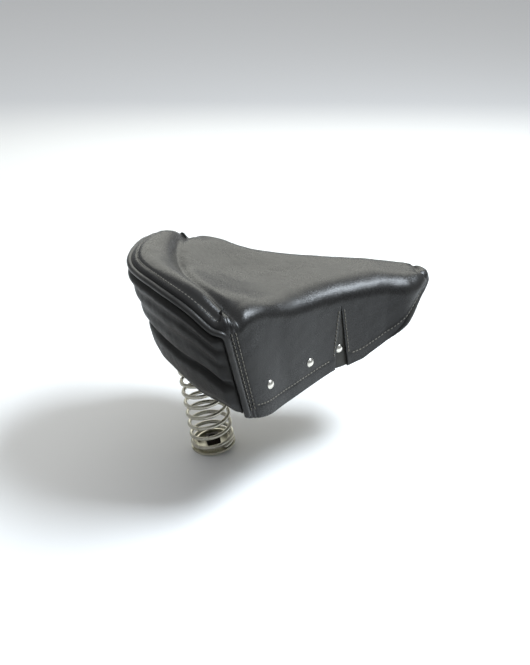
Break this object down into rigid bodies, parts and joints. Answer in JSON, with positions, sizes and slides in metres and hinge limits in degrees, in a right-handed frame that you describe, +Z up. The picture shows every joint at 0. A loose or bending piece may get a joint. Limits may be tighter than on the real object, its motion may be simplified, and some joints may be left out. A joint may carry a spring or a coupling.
{
  "type": "motorcycle seat",
  "caption": "Sprung solo motorcycle saddle with riveted leather skirts, a raised cantle, a nose hinge and one rear coil spring.",
  "frame": {"origin": "centre of the two bolt holes, on the bottom face of the nose hinge base", "axes": "+X to the rider's right, +Y forward to the nose, +Z up"},
  "size_m": [0.3069, 0.391, 0.2753],
  "materials": {
    "cover_leather": "black dressed hide, soft sheen",
    "apron_leather": "black soft hide, folded",
    "welt_leather": "black rolled leather welt",
    "gusset_leather": "black split leather",
    "lining_leather": "black hem leather",
    "padding": "felt and latex padding",
    "pan_paint": "black stoved enamel",
    "bracket_paint": "black enamel",
    "nickel": "pale nickel plate",
    "spring_steel": "dull nickel plated spring wire",
    "cup_steel": "pale plated pressing",
    "fastener_zinc": "zinc plated",
    "nut_dark": "oil blacked",
    "bronze": "sintered bronze",
    "rubber": "black rubber"
  },
  "bodies": {
    "frame_side": {"hinge_base": "bracket_paint", "hinge_bush": "bronze", "spring_foot_cup": "cup_steel", "foot_weld_nut": "nut_dark", "saddle_spring": "spring_steel"},
    "seat": {"leather_cover": "cover_leather", "rear_apron": "apron_leather", "nose_panel": "cover_leather", "cantle_bead": "welt_leather", "nose_bead": "welt_leather", "foam_pad": "padding", "cantle_roll_pad": "padding", "seat_pan": "pan_paint", "dart_gusset_right": "gusset_leather", "dart_gusset_left": "gusset_leather", "skirt_lining_right": "lining_leather", "skirt_lining_left": "lining_leather", "skirt_rivets_right": "nickel", "skirt_rivets_left": "nickel", "skirt_burrs_right": "nickel", "skirt_burrs_left": "nickel", "pivot_bolt": "fastener_zinc", "pivot_nut": "fastener_zinc", "pivot_washers": "fastener_zinc", "nose_clevis": "bracket_paint", "clevis_bolts": "fastener_zinc", "clevis_nuts": "fastener_zinc", "spring_bridge": "bracket_paint", "spring_top_cup": "cup_steel", "top_cup_bolt": "fastener_zinc", "top_cup_nut": "fastener_zinc", "bump_stop": "rubber"}
  },
  "joints": [
    {"name": "seat_pivot", "type": "hinge", "parent": "frame_side", "child": "seat", "pos_m": [0, 0, 0.036], "axis": [1, 0, 0], "range_deg": [-1, 10], "stiffness_Nm_per_rad": 1100, "springref_deg": -0.23, "deforming": ["saddle_spring"]}
  ]
}
